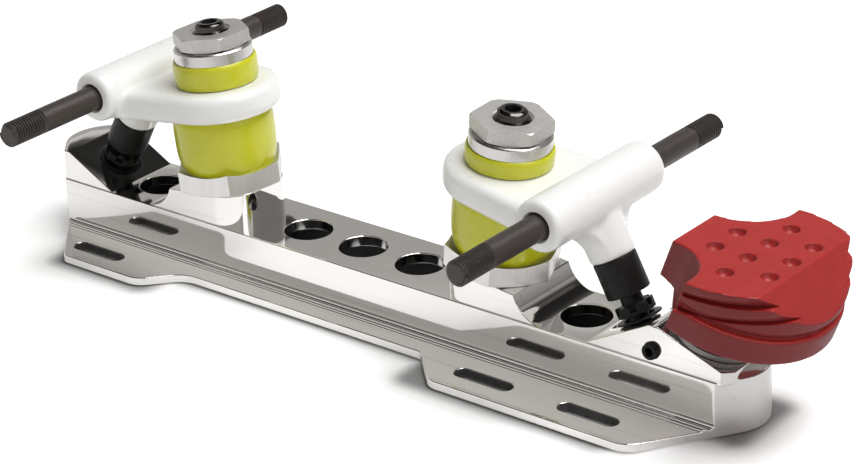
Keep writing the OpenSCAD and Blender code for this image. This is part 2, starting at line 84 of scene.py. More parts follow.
def lean(label, about, degrees):
    return bpy.props.FloatProperty(
        name=label, description=about, default=math.radians(degrees), subtype="ANGLE"
    )


def place(label, about, x, z):
    return bpy.props.FloatVectorProperty(
        name=label, description=about, default=(x * MM, 0, z * MM), subtype="TRANSLATION", unit="LENGTH"
    )


def tint(label, about, red, green, blue):
    return bpy.props.FloatVectorProperty(
        name=label, description=about, default=(red, green, blue), subtype="COLOR", min=0, max=1
    )


class SkateSizes(bpy.types.PropertyGroup):
    """Sizes of the pieces that are modelled here"""

    kingpin_place: place("Kingpin place", "Middle of the front pedestal top", 55, 27)
    kingpin_lean: lean("Kingpin lean", "Outward lean of the kingpin", 6)
    pivot_place: place("Pivot place", "Where the front pivot axis meets its seat", 105.6, 22.4)
    pivot_lean: lean("Pivot lean", "Inward lean of the pivot axis", -28)
    stem_place: place("Stem place", "Where the toe stop stem meets the front slope", 132.6, 25.2)
    stem_lean: lean("Stem lean", "Forward lean of the toe stop", 20.5)
    axle_place: place("Axle place", "Middle of the front axle", 88.5, 57.2)
    axle_length: length("Axle length", "Length of an axle over both ends", 130)
    axle_width: length("Axle diameter", "Diameter of an axle", 8)
    axle_pitch: length("Axle thread pitch", "Distance between the threads on an axle end", 1.06)
    hub_length: length("Hub length", "Length of the hanger hub round the axle", 55)
    hub_width: length("Hub diameter", "Diameter of the hanger hub", 16.6)
    base_nut_height: length("Base nut height", "Height of the cushion seat in a base nut", 5.8)
    lower_height: length("Lower cushion height", "Height of a lower cushion under its ring", 18.7)
    ring_height: length("Ring height", "Height of the hanger ring", 9.5)
    upper_height: length("Upper cushion height", "Height of the front upper cushion", 5.2)
    rear_upper_height: length(
        "Rear upper cushion height", "Height of the rear one, whose nut is less tight", 7.6
    )
    retainer_height: length("Retainer height", "Height of a cushion retainer", 4.4)
    nut_height: length("Kingpin nut height", "Height of a kingpin nut", 4.8)
    cushion_gap: length("Cushion gap", "Gap between a cushion and the ring that rocks on it", 0.3)
    stem_pitch: length("Stem thread pitch", "Distance between the threads on the toe stop stem", 1.411)
    plate_edge: length("Plate edge", "Rounding of the polished plate edges", 0.34)
    casting_voxel: length("Casting voxel", "Cell size that joins the hanger casting", 0.62)
    rubber_voxel: length("Rubber voxel", "Cell size that joins the rubber stop", 0.4)


class SkateColours(bpy.types.PropertyGroup):
    """Colours of the finishes"""

    aluminium: tint("Polished aluminium", "Plate, retainers and base nuts", 0.87, 0.855, 0.84)
    steel: tint("Steel", "Kingpin nuts, jam nut and stem", 0.64, 0.62, 0.60)
    dark_chrome: tint("Dark chrome", "Domed kingpin ends", 0.10, 0.093, 0.09)
    black_steel: tint("Blackened steel", "Axles", 0.058, 0.047, 0.043)
    black: tint("Black", "Pivot sleeves, pins and cups, and the clamp screw", 0.009, 0.0085, 0.008)
    enamel: tint("White enamel", "Hanger castings", 0.86, 0.86, 0.85)
    lime: tint("Lime urethane", "Cushions", 0.585, 0.59, 0.011)
    red: tint("Red rubber", "Contact face of the toe stop", 0.40, 0.026, 0.023)
    # Painted shade: a darker red for the sides of the toe stop that turn away from the contact face
    side_shade_red: tint("Moulded red", "Moulded sides of the toe stop", 0.19, 0.025, 0.026)
    floor: tint("Floor", "Studio floor", 0.86, 0.86, 0.86)


# Modelling steps shared by the pieces


def pick_nothing():
    if bpy.context.mode != "OBJECT":
        bpy.ops.object.mode_set(mode="OBJECT")
    bpy.ops.object.select_all(action="DESELECT")


def pick(obj):
    pick_nothing()
    obj.select_set(True)
    bpy.context.view_layer.objects.active = obj


def enter(obj):
    pick(obj)
    bpy.ops.object.mode_set(mode="EDIT")
    bpy.ops.mesh.select_mode(type="VERT")
    bpy.ops.mesh.select_all(action="SELECT")


def leave():
    bpy.ops.object.mode_set(mode="OBJECT")


def settle(obj, where=None):
    """Moves a piece to its place and keeps the place in its mesh."""
    pick(obj)
    if where is not None:
        obj.matrix_world = where @ obj.matrix_world
    bpy.ops.object.transform_apply(location=True, rotation=True, scale=True)


def mend(obj):
    """Closes the seams of a shape and turns its faces outwards."""
    enter(obj)
    bpy.ops.mesh.remove_doubles(threshold=0.002 * MM)
    bpy.ops.mesh.normals_make_consistent(inside=False)
    leave()


def smooth(obj, degrees=35):
    pick(obj)
    bpy.ops.object.shade_smooth_by_angle(angle=math.radians(degrees))


def apply(obj, kind, **settings):
    """Adds one modifier and applies it."""
    pick(obj)
    modifier = obj.modifiers.new(kind.lower(), kind)
    for key, value in settings.items():
        setattr(modifier, key, value)
    bpy.ops.object.modifier_apply(modifier=modifier.name)


def combine(obj, tool, operation):
    """Joins, cuts or crosses a piece with a tool shape, and deletes the tool."""
    apply(obj, "BOOLEAN", object=tool, operation=operation, solver="EXACT")
    bpy.data.objects.remove(tool)


def rounded(points, steps=5):
    """A run of 2D points where a third number rounds that corner to its radius."""
    run = []
    count = len(points)
    for i, point in enumerate(points):
        here = Vector(point[:2])
        if len(point) < 3:
            run.append(here)
            continue
        before = (Vector(points[i - 1][:2]) - here).normalized()
        after = (Vector(points[(i + 1) % count][:2]) - here).normalized()
        half = before.angle(after) / 2
        centre = here + (before + after).normalized() * point[2] / math.sin(half)
        start = (here + before * point[2] / math.tan(half) - centre).normalized()
        stop = (here + after * point[2] / math.tan(half) - centre).normalized()
        run += [centre + start.slerp(stop, k / steps) * point[2] for k in range(steps + 1)]
    return run


def trace(name, points):
    """Extrudes one vertex along a run of 3D points and stays in edit mode."""
    pick_nothing()
    run = [Vector(point) * MM for point in points]
    bpy.ops.mesh.primitive_plane_add(size=MM, location=run[0])
    obj = bpy.context.object
    obj.name = name
    enter(obj)
    bpy.ops.mesh.merge(type="CENTER")
    for here, there in zip(run, run[1:]):
        bpy.ops.mesh.extrude_region_move(TRANSFORM_OT_translate={"value": there - here})
    return obj


def turned(name, profile, where=None, steps=96, closed=False):
    """A piece turned on a lathe: a profile of (radius, height) points spun round Z."""
    run = [(point[0], 0, point[1]) for point in profile]
    if closed:
        run.append(run[0])
    obj = trace(name, run)
    bpy.ops.mesh.select_all(action="SELECT")
    bpy.ops.mesh.spin(steps=steps, angle=math.tau, center=(0, 0, 0), axis=(0, 0, 1))
    leave()
    settle(obj, where)
    mend(obj)
    return obj


def prism(name, outline, low, high, where=None):
    """An outline of (x, y) points, filled and extruded from one height to another."""
    obj = trace(name, [(point[0], point[1], low) for point in outline])
    bpy.ops.mesh.select_all(action="SELECT")
    bpy.ops.mesh.edge_face_add()
    bpy.ops.mesh.extrude_region_move(TRANSFORM_OT_translate={"value": (0, 0, (high - low) * MM)})
    leave()
    settle(obj, where)
    mend(obj)
    return obj


def hexagon(across_flats, turn=0):
    radius = across_flats / 2 / math.cos(math.radians(30))
    angles = [math.radians(60 * i + turn) for i in range(6)]
    return [(radius * math.cos(a), radius * math.sin(a)) for a in angles]


def thread(name, root, crest, pitch, low, high, where=None):
    """A closed helical ridge between two heights, to lie on a rod."""
    flank = pitch * 0.36
    foot = pitch * 0.98
    section = [(root, low), (crest, low + flank), (crest, low + pitch - flank), (root, low + foot)]
    obj = trace(name, [(radius, 0, height) for radius, height in section])
    bpy.ops.mesh.select_all(action="SELECT")
    bpy.ops.mesh.edge_face_add()
    leave()
    settle(obj)
    turns = int((high - low) / pitch) - 1
    apply(
        obj, "SCREW", angle=math.tau, screw_offset=pitch * MM, iterations=turns,
        steps=40, render_steps=40, use_merge_vertices=False,
    )
    settle(obj, where)
    mend(obj)
    return obj


def join(obj, *others):
    pick(obj)
    for other in others:
        other.select_set(True)
    bpy.context.view_layer.objects.active = obj
    bpy.ops.object.join()


def duplicate(source):
    """A copy of an object with its own mesh."""
    obj = source.copy()
    obj.data = source.data.copy()
    bpy.context.scene.collection.objects.link(obj)
    return obj


def cad_copy(node):
    obj = duplicate(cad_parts[node])
    obj.parent = None
    return obj


def to_rear(obj):
    """Mirrors a piece that was made for the front end over to the rear end."""
    obj.scale = (-1, 1, 1)
    settle(obj)
    mend(obj)


def rear_twin(obj):
    twin = duplicate(obj)
    to_rear(twin)
    return twin


def softened(node, edge, segments=2, sharpest=28):
    """A merged copy of a CAD node with its outer edges rounded."""
    obj = cad_copy(node)
    enter(obj)
    bpy.ops.mesh.remove_doubles(threshold=0.06 * MM)
    bpy.ops.mesh.dissolve_degenerate(threshold=0.05 * MM)
    bpy.ops.mesh.dissolve_limited(angle_limit=math.radians(0.5))
    bpy.ops.mesh.select_all(action="DESELECT")
    bpy.ops.mesh.select_mode(type="EDGE")
    mesh = bmesh.from_edit_mesh(obj.data)
    for line in mesh.edges:
        if line.is_manifold and line.is_convex:
            line.select_set(line.calc_face_angle() > math.radians(sharpest))
    bmesh.update_edit_mesh(obj.data)
    bpy.ops.transform.edge_bevelweight(value=1)
    leave()
    apply(
        obj, "BEVEL", limit_method="WEIGHT", width=edge, segments=segments,
        use_clamp_overlap=False, loop_slide=False,
    )
    return obj


def even_shading(obj, degrees=32):
    """Smooth shading that keeps the large flats flat."""
    smooth(obj, degrees)
    apply(obj, "WEIGHTED_NORMAL", keep_sharp=True, weight=80)


def dress(obj, node, material, body=None):
    """Gives a piece its finish and lets it stand for a CAD node on that node's body."""
    obj.name = node + "_piece"
    obj.data.name = obj.name
    obj.data.materials.clear()
    obj.data.materials.append(material)
    if body:
        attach(obj, body)
    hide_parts(node)


def frame_at(spot, angle):
    return Matrix.Translation(Vector(spot)) @ Matrix.Rotation(angle, 4, "Y")


def kingpin_frame(sizes):
    return frame_at(sizes.kingpin_place, sizes.kingpin_lean)


def pivot_frame(sizes):
    return frame_at(sizes.pivot_place, sizes.pivot_lean)


def stem_frame(sizes):
    return frame_at(sizes.stem_place, sizes.stem_lean)


def axle_frame(sizes):
    """Lies at the middle of the axle with its Z along it."""
    return Matrix.Translation(Vector(sizes.axle_place)) @ Matrix.Rotation(math.radians(90), 4, "X")


class Stack:
    """Heights along one kingpin above its pedestal, in millimetres."""

    def __init__(self, sizes, end):
        upper = sizes.upper_height if end == "front" else sizes.rear_upper_height
        self.seat = sizes.base_nut_height / MM
        self.lower_top = self.seat + sizes.lower_height / MM
        self.ring_low = self.lower_top + sizes.cushion_gap / MM
        self.ring_high = self.ring_low + sizes.ring_height / MM
        self.upper_low = self.ring_high + sizes.cushion_gap / MM
        self.retainer = self.upper_low + upper / MM
        self.nut = self.retainer + sizes.retainer_height / MM
        self.nut_top = self.nut + sizes.nut_height / MM


# Material node groups and finishes


def add_node(tree, kind, **settings):
    item = tree.nodes.new(kind)
    for key, value in settings.items():
        setattr(item, key, value)
    return item


def preset(item, **values):
    """Sets the inputs of a node by name, with _ for each space."""
    for key, value in values.items():
        item.inputs[key.replace("_", " ")].default_value = value


def wire(tree, *pairs):
    """Links each pair of an output and an input."""
    for output, socket in pairs:
        tree.links.new(output, socket)


def effect(name, output, **inputs):
    """A new node group that reads a Vector and other named inputs, and its two end nodes."""
    tree = bpy.data.node_groups.new(name, "ShaderNodeTree")
    tree.interface.new_socket("Vector", in_out="INPUT", socket_type="NodeSocketVector")
    for label, default in inputs.items():
        kind = "NodeSocketVector" if isinstance(default, tuple) else "NodeSocketFloat"
        socket = tree.interface.new_socket(label, in_out="INPUT", socket_type=kind)
        socket.default_value = default
    tree.interface.new_socket(output, in_out="OUTPUT", socket_type="NodeSocketFloat")
    return tree, tree.nodes.new("NodeGroupInput"), tree.nodes.new("NodeGroupOutput")


def scratches_effect(name):
    """Thin wandering lines in two directions, as a mask."""
    tree, start, end = effect(name, "Mask", Scale=500.0, Amount=1.0)
    either = add_node(tree, "ShaderNodeMath", operation="MAXIMUM")
    scaled = add_node(tree, "ShaderNodeMath", operation="MULTIPLY")
    wire(
        tree,
        (scratch_lines(tree, start, 0.35), either.inputs[0]),
        (scratch_lines(tree, start, -0.9), either.inputs[1]),
        (either.outputs["Value"], scaled.inputs[0]),
        (start.outputs["Amount"], scaled.inputs[1]),
        (scaled.outputs["Value"], end.inputs["Mask"]),
    )
    return tree


def scratch_lines(tree, start, turn):
    """The crests of a stretched noise, turned round Z."""
    mapping = add_node(tree, "ShaderNodeMapping")
    preset(mapping, Rotation=(0.1, 0.2, turn), Scale=(0.02, 1.0, 1.0))
    noise = add_node(tree, "ShaderNodeTexNoise", noise_dimensions="3D")
    preset(noise, Detail=2.0)
    ramp = add_node(tree, "ShaderNodeValToRGB")
    ramp.color_ramp.elements[0].position = 0.66
    ramp.color_ramp.elements[1].position = 0.74
    wire(
        tree,
        (start.outputs["Vector"], mapping.inputs["Vector"]),
        (mapping.outputs["Vector"], noise.inputs["Vector"]),
        (start.outputs["Scale"], noise.inputs["Scale"]),
        (noise.outputs["Fac"], ramp.inputs["Fac"]),
    )
    return ramp.outputs["Color"]


def mottle_effect(name):
    """A soft cloudy value between a low and a high level."""
    tree, start, end = effect(name, "Value", Scale=60.0, Low=0.0, High=1.0)
    noise = add_node(tree, "ShaderNodeTexNoise", noise_dimensions="3D")
    preset(noise, Detail=5.0, Roughness=0.6)
    spread = add_node(tree, "ShaderNodeMapRange")
    preset(spread, From_Min=0.3, From_Max=0.7)
    wire(
        tree,
        (start.outputs["Vector"], noise.inputs["Vector"]),
        (start.outputs["Scale"], noise.inputs["Scale"]),
        (noise.outputs["Fac"], spread.inputs["Value"]),
        (start.outputs["Low"], spread.inputs["To Min"]),
        (start.outputs["High"], spread.inputs["To Max"]),
        (spread.outputs["Result"], end.inputs["Value"]),
    )
    return tree


def tool_marks_effect(name):
    """Fine parallel lines left by a tool, finer across than along, as a height."""
    tree, start, end = effect(
        name, "Height", Spacing=900.0, Stretch=(1.0, 1.0, 0.03), Lean=(0.0, 0.0, 0.0)
    )
    mapping = add_node(tree, "ShaderNodeMapping")
    noise = add_node(tree, "ShaderNodeTexNoise", noise_dimensions="3D")
    preset(noise, Detail=3.0)
    wire(
        tree,
        (start.outputs["Vector"], mapping.inputs["Vector"]),
        (start.outputs["Stretch"], mapping.inputs["Scale"]),
        (start.outputs["Lean"], mapping.inputs["Rotation"]),
        (mapping.outputs["Vector"], noise.inputs["Vector"]),
        (start.outputs["Spacing"], noise.inputs["Scale"]),
        (noise.outputs["Fac"], end.inputs["Height"]),
    )
    return tree


def specks_effect(name):
    """Small scattered spots that gather in patches, as a mask."""
    tree, start, end = effect(name, "Mask", Scale=700.0, Size=0.12)
    cells = add_node(tree, "ShaderNodeTexVoronoi", feature="F1")
    patches = add_node(tree, "ShaderNodeTexNoise")
    preset(patches, Scale=90.0)
    reach = add_node(tree, "ShaderNodeMath", operation="MULTIPLY")
    spot = add_node(tree, "ShaderNodeMath", operation="LESS_THAN")
    wire(
        tree,
        (start.outputs["Vector"], cells.inputs["Vector"]),
        (start.outputs["Scale"], cells.inputs["Scale"]),
        (start.outputs["Vector"], patches.inputs["Vector"]),
        (patches.outputs["Fac"], reach.inputs[0]),
        (start.outputs["Size"], reach.inputs[1]),
        (cells.outputs["Distance"], spot.inputs[0]),
        (reach.outputs["Value"], spot.inputs[1]),
        (spot.outputs["Value"], end.inputs["Mask"]),
    )
    return tree


EFFECTS = {
    "fine_scratches": scratches_effect,
    "mottle": mottle_effect,
    "tool_marks": tool_marks_effect,
    "specks": specks_effect,
}


class Finish:
    """One material under construction: its tree, its shader and its coordinates."""

    def __init__(self, name, colour, metallic=0.0):
        self.material = bpy.data.materials.new(name)
        self.material.use_nodes = True
        self.tree = self.material.node_tree
        self.shader = self.tree.nodes["Principled BSDF"]
        self.colour = (*colour, 1)
        preset(self.shader, Base_Color=self.colour, Metallic=metallic)
        places = add_node(self.tree, "ShaderNodeTexCoord")
        self.coordinates = places.outputs["Object"]
        self.normals = places.outputs["Normal"]

    def link(self, output, socket):
        self.tree.links.new(output, socket)

    def use(self, name, **values):
        """Places a shared effect with its own values and returns its only output."""
        tree = bpy.data.node_groups.get(name) or EFFECTS[name](name)
        item = add_node(self.tree, "ShaderNodeGroup", node_tree=tree)
        self.link(self.coordinates, item.inputs["Vector"])
        preset(item, **values)
        return item.outputs[0]

    def rough(self, scale, low, high):
        """Roughness that drifts between two levels over the surface."""
        clouds = self.use("mottle", Scale=scale, Low=low, High=high)
        self.link(clouds, self.shader.inputs["Roughness"])

    def shade(self, mask, other, over=None):
        """Mixes another colour into the base, or into an earlier mix, where the mask is high."""
        mix = add_node(self.tree, "ShaderNodeMix", data_type="RGBA")
        preset(mix, A=self.colour, B=(*other, 1))
        if over is not None:
            self.link(over, mix.inputs["A"])
        self.link(mask, mix.inputs["Factor"])
        self.link(mix.outputs["Result"], self.shader.inputs["Base Color"])
        return mix.outputs["Result"]

    def cloud(self, scale, share, other, over=None):
        """Mixes in another colour in soft clouds, up to a share."""
        return self.shade(self.use("mottle", Scale=scale, Low=0.0, High=share), other, over)

    def bump(self, height, strength, depth):
        item = add_node(self.tree, "ShaderNodeBump")
        preset(item, Strength=strength, Distance=depth * MM)
        self.link(height, item.inputs["Height"])
        self.link(item.outputs["Normal"], self.shader.inputs["Normal"])

    def grain(self, scale, strength, depth):
        self.bump(self.use("mottle", Scale=scale), strength, depth)


def lighter(colour, share):
    return tuple(channel + (1 - channel) * share for channel in colour)


def darker(colour, share):
    return tuple(channel * (1 - share) for channel in colour)


def kept(make):
    """The finish that a function makes, made on first use and kept apart from the CAD materials."""
    title = "skate_" + make.__name__
    return bpy.data.materials.get(title) or make(title, bpy.context.scene.skate_colours)


def polished_aluminium(name, colours):
    finish = Finish(name, colours.aluminium, metallic=1.0)
    finish.rough(scale=55.0, low=0.03, high=0.08)
    lines = finish.use("fine_scratches", Scale=420.0, Amount=0.5)
    finish.shade(lines, darker(colours.aluminium, 0.18))
    finish.grain(scale=38.0, strength=0.03, depth=0.3)
    return finish.material


def turned_aluminium(name, colours):
    finish = Finish(name, darker(colours.aluminium, 0.28), metallic=1.0)
    finish.rough(scale=120.0, low=0.2, high=0.32)
    marks = finish.use("tool_marks", Spacing=2200.0, Stretch=(0.04, 0.04, 1.0), Lean=(0.0, 0.1, 0.0))
    finish.bump(marks, strength=0.25, depth=0.05)
    return finish.material


def milled_aluminium(name, colours):
    finish = Finish(name, darker(colours.aluminium, 0.06), metallic=1.0)
    finish.rough(scale=200.0, low=0.34, high=0.46)
    streaks = finish.use("tool_marks", Spacing=750.0, Stretch=(1.0, 1.0, 0.06))
    finish.shade(streaks, darker(colours.aluminium, 0.22))
    finish.bump(streaks, strength=0.2, depth=0.08)
    return finish.material


def worn_steel(name, colour):
    finish = Finish(name, colour, metallic=1.0)
    finish.rough(scale=900.0, low=0.48, high=0.62)
    finish.cloud(scale=1500.0, share=0.5, other=darker(colour, 0.35))
    finish.grain(scale=2400.0, strength=0.22, depth=0.05)
    return finish.material


def satin_steel(name, colours):
    return worn_steel(name, lighter(colours.steel, 0.1))


def dull_steel(name, colours):
    return worn_steel(name, darker(colours.steel, 0.5))


def bright_steel(name, colours):
    finish = Finish(name, colours.dark_chrome, metallic=1.0)
    finish.rough(scale=300.0, low=0.09, high=0.2)
    rings = finish.use("tool_marks", Spacing=2600.0, Stretch=(0.05, 0.05, 1.0))
    finish.bump(rings, strength=0.2, depth=0.04)
    return finish.material


def blackened_steel(name, colours):
    finish = Finish(name, colours.black_steel, metallic=0.35)
    finish.rough(scale=420.0, low=0.34, high=0.5)
    rubbed = finish.use("fine_scratches", Scale=900.0, Amount=0.35)
    finish.shade(rubbed, lighter(colours.black_steel, 0.1))
    finish.grain(scale=2600.0, strength=0.2, depth=0.04)
    return finish.material


def black_nylon(name, colours):
    finish = Finish(name, colours.black)
    preset(finish.shader, Specular_IOR_Level=0.2)
    finish.rough(scale=320.0, low=0.34, high=0.5)
    finish.shade(finish.use("specks", Scale=900.0, Size=0.2), lighter(colours.black, 0.05))
    rings = finish.use("tool_marks", Spacing=1500.0, Stretch=(0.06, 0.06, 1.0))
    finish.bump(rings, strength=0.15, depth=0.05)
    return finish.material


def white_enamel(name, colours):
    finish = Finish(name, colours.enamel)
    preset(finish.shader, Coat_Weight=0.5, Coat_Roughness=0.12)
    finish.rough(scale=150.0, low=0.26, high=0.36)
    finish.cloud(scale=45.0, share=0.35, other=darker(colours.enamel, 0.04))
    finish.grain(scale=420.0, strength=0.06, depth=0.2)
    return finish.material


def lime_urethane(name, colours):
    finish = Finish(name, colours.lime)
    preset(finish.shader, Coat_Weight=0.35, Coat_Roughness=0.15)
    preset(finish.shader, Subsurface_Weight=0.12, Subsurface_Scale=0.004, Subsurface_Radius=(1.0, 0.8, 0.1))
    finish.rough(scale=180.0, low=0.24, high=0.36)
    finish.cloud(scale=70.0, share=0.3, other=darker(colours.lime, 0.08))
    finish.grain(scale=900.0, strength=0.05, depth=0.06)
    return finish.material


def red_rubber(name, colours):
    """Bright on the ground contact face, with painted shade darkening the sides as they turn away from it.
    """
    contact_normal = (0.0645, 0.0, 0.998)
    finish = Finish(name, colours.red)
    preset(finish.shader, Specular_IOR_Level=0.28)
    # Painted shade: the colour darkens as the surface turns away from the contact face
    facing = add_node(finish.tree, "ShaderNodeVectorMath", operation="DOT_PRODUCT")
    facing.inputs[1].default_value = contact_normal
    side = add_node(finish.tree, "ShaderNodeMapRange")
    preset(side, From_Min=0.75, From_Max=0.19)
    finish.link(finish.normals, facing.inputs[0])
    finish.link(facing.outputs["Value"], side.inputs["Value"])
    painted_side_shade = finish.shade(side.outputs["Result"], colours.side_shade_red)
    clouds = finish.cloud(scale=110.0, share=0.3, other=darker(colours.red, 0.5), over=painted_side_shade)
    finish.shade(finish.use("specks", Scale=420.0, Size=0.2), darker(colours.red, 0.25), over=clouds)
    finish.rough(scale=260.0, low=0.3, high=0.48)
    finish.grain(scale=650.0, strength=0.16, depth=0.15)
    return finish.material


# Dull aluminium darkened far below its own tone: painted shade for the plate's hollow, grooves and slot
# walls
def unpolished_painted_shade(name, colours):
    finish = Finish(name, darker(colours.aluminium, 0.93), metallic=0.3)
    finish.rough(scale=200.0, low=0.6, high=0.8)
    return finish.material


def socket_shadow(name, colours):
    finish = Finish(name, darker(colours.black, 0.4))
    finish.rough(scale=500.0, low=0.5, high=0.7)
    return finish.material


# Pieces


class SKATE_OT_plate(bpy.types.Operator):
    """Round the edges of the plate and polish it"""

    bl_idname = "skate.plate"
    bl_label = "Plate"

    def execute(self, context):
        obj = softened("plate", context.scene.skate_sizes.plate_edge, segments=3)
        even_shading(obj)
        dress(obj, "plate", kept(polished_aluminium), "plate_body")
        self.paint_recess_shade(obj)
        return {"FINISHED"}

    def paint_recess_shade(self, obj):
        """The hollow, the fine grooves and the walls of the bolt slots get a dull finish, darkened as
        painted shade.
        """
        hollow_reach = 100
        hollow_half = 11.05
        hollow_foot = 0.2
        hollow_roof = 13.95
        groove_y = 16.2
        groove_half = 0.12
        groove_foot = 2.75
        groove_top = 3.15
        slot_middles = (68.7, 106.8, -90.5)
        slot_y = 28.2
        slot_half_length = 10.6
        slot_half_width = 2.8
        wall_tilt = 0.3
        # A second slot that paints shade into the recesses
        obj.data.materials.append(kept(unpolished_painted_shade))
        for face in obj.data.polygons:
            x, y, z = face.center / MM
            y = abs(y)
            in_hollow = abs(x) < hollow_reach and y < hollow_half and hollow_foot < z < hollow_roof
            in_groove = abs(y - groove_y) < groove_half and groove_foot < z < groove_top
            by_slot = any(abs(x - middle) < slot_half_length for middle in slot_middles)
            in_slot = by_slot and abs(y - slot_y) < slot_half_width and abs(face.normal.z) < wall_tilt
            if in_hollow or in_groove or in_slot:
                face.material_index = 1


class SKATE_OT_clamp_screw(bpy.types.Operator):
    """Round the edges of the clamp screw and blacken it"""

    bl_idname = "skate.clamp_screw"
    bl_label = "Clamp screw"

    def execute(self, context):
        edge = 0.25
        obj = softened("clamp_screw", edge * MM)
        smooth(obj)
        dress(obj, "clamp_screw", kept(black_nylon), "plate_body")
        return {"FINISHED"}


def nut_blank(name, across_flats, low, high, shape, turn):
    """A hexagon trimmed by a turned shape."""
    edge = 0.22
    obj = prism(name, hexagon(across_flats, turn), low, high)
    combine(obj, turned(name + "_shape", shape, steps=120), "INTERSECT")
    apply(obj, "BEVEL", limit_method="ANGLE", angle_limit=math.radians(25), width=edge * MM, segments=2)
    return obj


def kingpin_nut(stack, turn):
    """The top nut, chamfered at both ends and countersunk round the stud."""
    low = stack.nut
    high = stack.nut_top
    across_flats = 22.2
    side_r = 12.9
    sink_r = 6.5
    shape = [(0, low), (10.9, low), (side_r, low + 0.95), (side_r, high - 0.45), (12.1, high), (0, high)]
    obj = nut_blank("kingpin_nut", across_flats, low, high, shape, turn)
    bore = [(0, low - 1), (PIN_HOLE_R, low - 1), (PIN_HOLE_R, high - 1.1), (sink_r, high - 0.25)]
    bore += [(sink_r, high + 1), (0, high + 1)]
    combine(obj, turned("nut_bore", bore), "DIFFERENCE")
    return obj


def base_nut(stack, turn):
    """The lock nut under the cushion, with a dished top that leaves a wavy rim."""
    across_flats = 32.5
    dish_r = 15.3
    rim_r = 19.3
    rim = stack.seat + (rim_r - dish_r) * math.tan(math.radians(33))
    shape = [(0, 0), (16.0, 0), (rim_r, 1.1), (rim_r, rim), (dish_r, stack.seat), (0, stack.seat)]
    obj = nut_blank("base_nut", across_flats, 0, rim, shape, turn)
    bore = [(0, -1), (PIN_HOLE_R, -1), (PIN_HOLE_R, rim), (0, rim)]
    combine(obj, turned("base_bore", bore), "DIFFERENCE")
    return obj


def retainer(stack):
    """The turned washer that presses on the upper cushion."""
    low = stack.retainer
    high = stack.nut
    side_r = 12.8
    profile = [(PIN_HOLE_R, low), (side_r, low, 0.25), (side_r, high - 0.5, 0.25)]
    profile += [(12.3, high, 0.2), (PIN_HOLE_R, high)]
    return turned("retainer", rounded(profile, steps=3), closed=True)


class SKATE_OT_kingpins(bpy.types.Operator):
    """Model both kingpins with their base nuts, retainers and top nuts"""

    bl_idname = "skate.kingpins"
    bl_label = "Kingpins and nuts"

    def execute(self, context):
        sizes = context.scene.skate_sizes
        where = kingpin_frame(sizes)
        nut_turn = 33
        base_turns = (-6, 50)
        for end, base_turn in zip(ENDS, base_turns):
            stack = Stack(sizes, end)
            pin = self.pin(stack)
            for obj, node, finish, slot in (
                (kingpin_nut(stack, nut_turn), "kingpin_nut", satin_steel, "bright_steel"),
                (base_nut(stack, base_turn), "base_nut", milled_aluminium, "satin_aluminium"),
                (retainer(stack), "retainer", turned_aluminium, "satin_aluminium"),
                (pin, "kingpin", bright_steel, "bright_steel"),
            ):
                settle(obj, where)
                if end == "rear":
                    to_rear(obj)
                obj.data.validate()
                even_shading(obj)
                dress(obj, f"{end}_{node}", kept(finish), "plate_body")
            self.blacken_socket(pin, where, end, stack.nut_top - KEY_DEPTH)
        return {"FINISHED"}

    def pin(self, stack):
        """The stud with its domed end, the last turns of its thread and its key socket."""
        top = stack.nut_top
        foot = -13.5
        shank_r = 4.75
        key_width = 4.8
        profile = [(0, foot), (shank_r, foot, 0.4), (shank_r, top - 1.05)]
        for turn in range(4):
            height = top - 1.0 + 0.32 * turn
            drawn = 0.28 * turn
            profile += [(6.2 - drawn, height), (6.1 - drawn, height + 0.16), (5.7 - drawn, height + 0.2)]
        profile += [(shank_r, top + 0.35), (shank_r, top + 2.1, 0.9), (3.6, top + 2.7, 0.5)]
        profile += [(2.8, top + 2.65), (0, top + 2.6)]
        obj = turned("kingpin", rounded(profile, steps=4))
        combine(obj, prism("key", hexagon(key_width), top - KEY_DEPTH, top + 4), "DIFFERENCE")
        return obj

    def blacken_socket(self, obj, where, end, bottom):
        """Darkens the faces of the key socket."""
        socket_r = 2.76
        obj.data.materials.append(kept(socket_shadow))
        back = where.inverted()
        for face in obj.data.polygons:
            spot = face.center.copy()
            if end == "rear":
                spot.x = -spot.x
            spot = back @ spot / MM
            if math.hypot(spot.x, spot.y) < socket_r and spot.z > bottom - 0.1:
                face.material_index = 1


def barrel(radius, low, high, low_in, high_in, steps=24):
    """Side of a cushion from its foot to its top, drawn in at both ends."""
    side = []
    for k in range(steps + 1):
        share = k / steps
        drawn = low_in * (1 - share) ** 5 + high_in * share ** 14
        side.append((radius - drawn, low + (high - low) * share))
    return side


